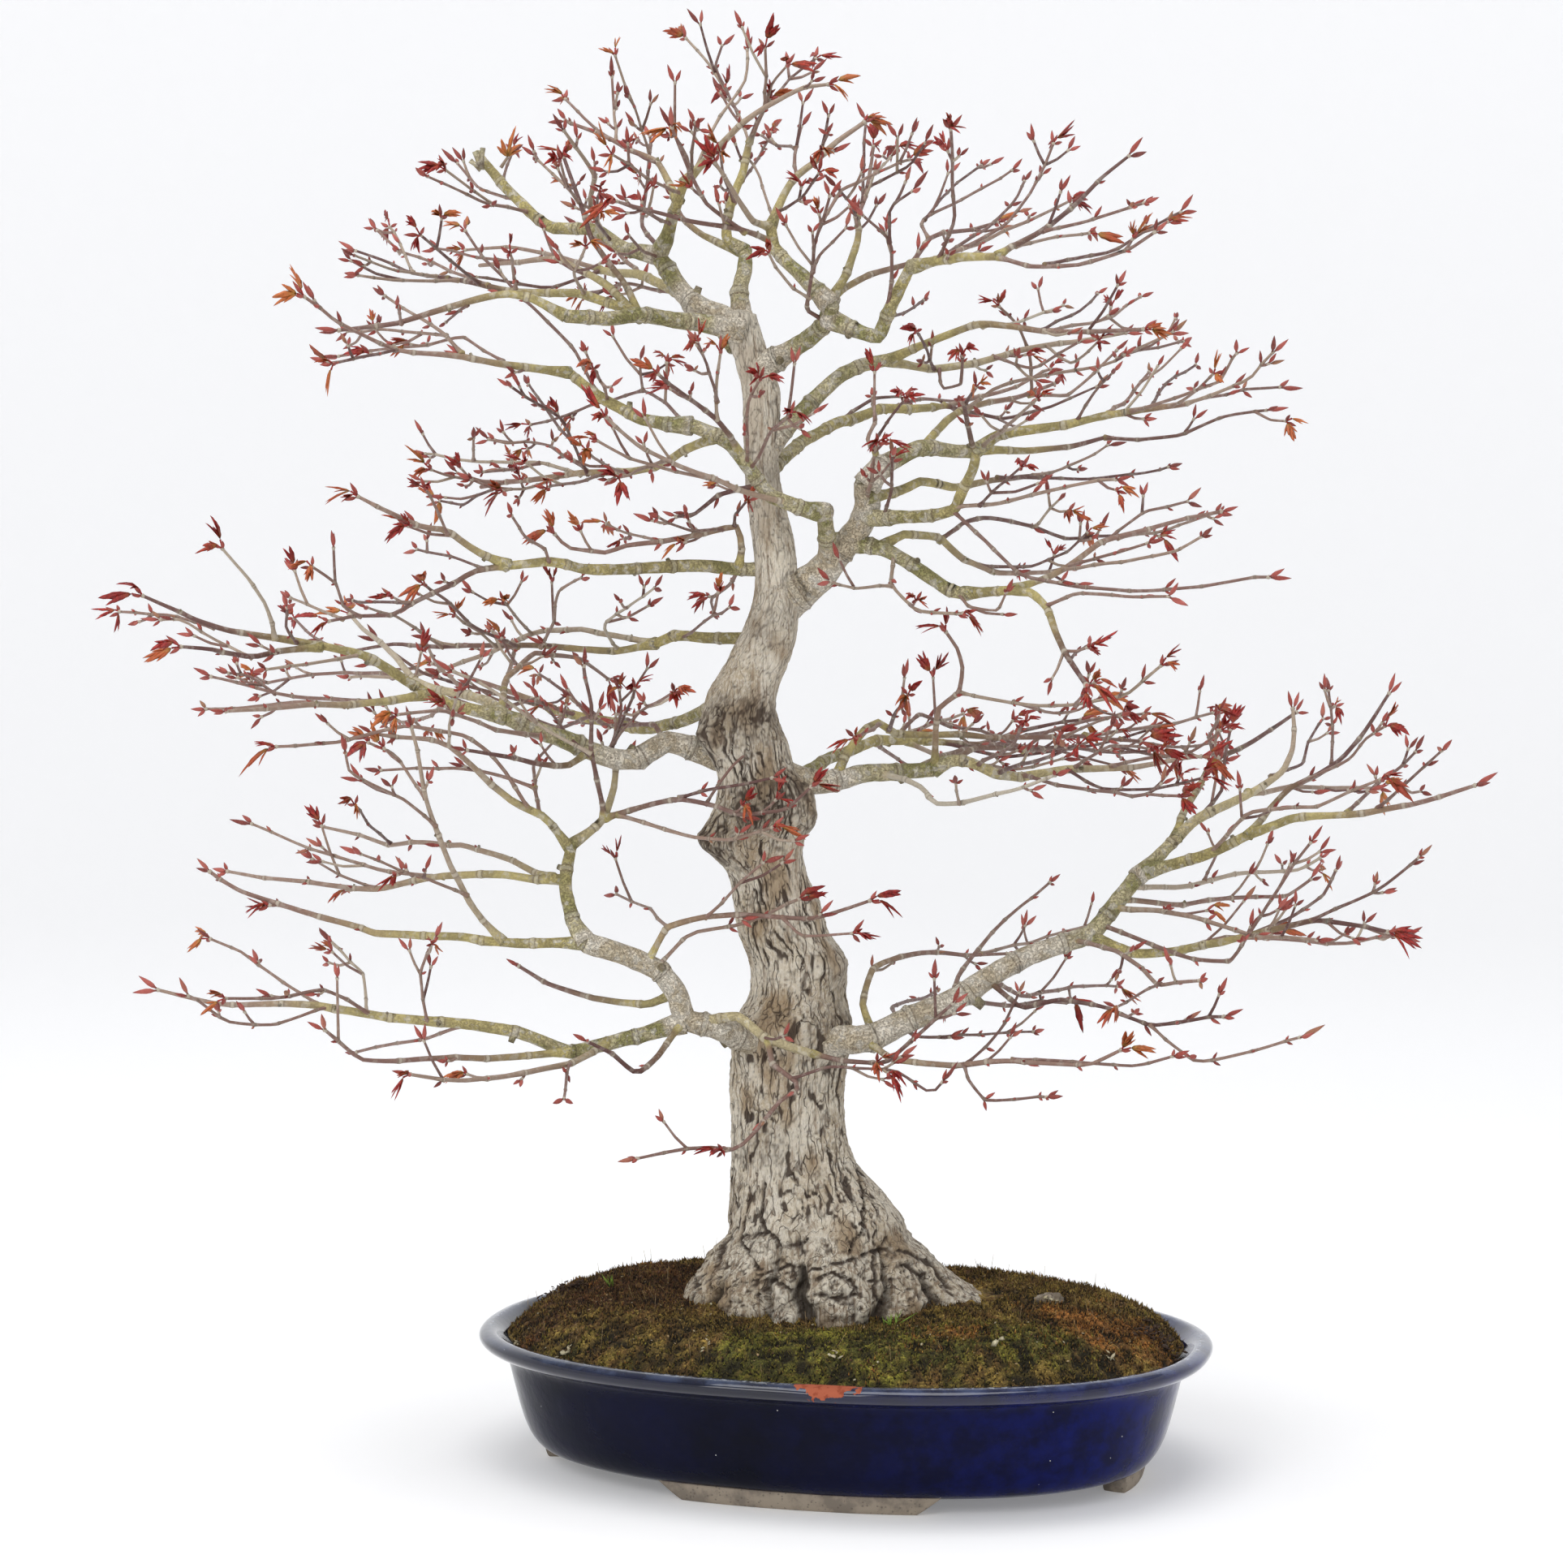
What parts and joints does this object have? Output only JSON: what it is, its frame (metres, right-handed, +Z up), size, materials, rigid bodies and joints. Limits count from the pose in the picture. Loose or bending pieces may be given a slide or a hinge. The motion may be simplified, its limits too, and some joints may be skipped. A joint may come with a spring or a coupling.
{
  "type": "japanese maple bonsai",
  "caption": "Old japanese maple bonsai in early spring, with a flared trunk, tiered bare limbs, fine twigs and opening crimson buds, in an oval glazed pot.",
  "frame": {"origin": "middle of the object's box, on the ground under the pot's feet", "axes": "+Z up along the trunk, +X to the right seen from the tree's front, -Y towards the front"},
  "size_m": [0.7508, 0.4094, 0.8101],
  "materials": {
    "pot_glaze": "deep blue glaze with worn pale rim",
    "drain_plastic": "matt moulded",
    "soil": "baked clay grains, damp",
    "moss": "short moss",
    "stone": "rough",
    "bark": "fissured bark",
    "twig": "smooth young bark"
  },
  "bodies": {
    "root": {"pot": "pot_glaze", "drain_mesh_left": "drain_plastic", "drain_mesh_right": "drain_plastic", "soil": "soil", "moss": "moss", "stone": "stone", "trunk": "bark", "spray_low_left": "twig", "spray_low_right": "twig", "spray_mid_left": "twig", "spray_mid_right": "twig", "spray_left_469": "twig", "spray_left_508": "twig", "spray_right_mid": "twig", "spray_right_far": "twig", "spray_wide_left": "twig", "spray_upper_left": "twig", "spray_left_leader": "twig", "spray_centre_leader": "twig", "spray_right_leader": "twig", "spray_right_620": "twig", "spray_back_low": "twig", "spray_back_left": "twig", "spray_back_high": "twig", "spray_back_top": "twig"}
  },
  "joints": []
}
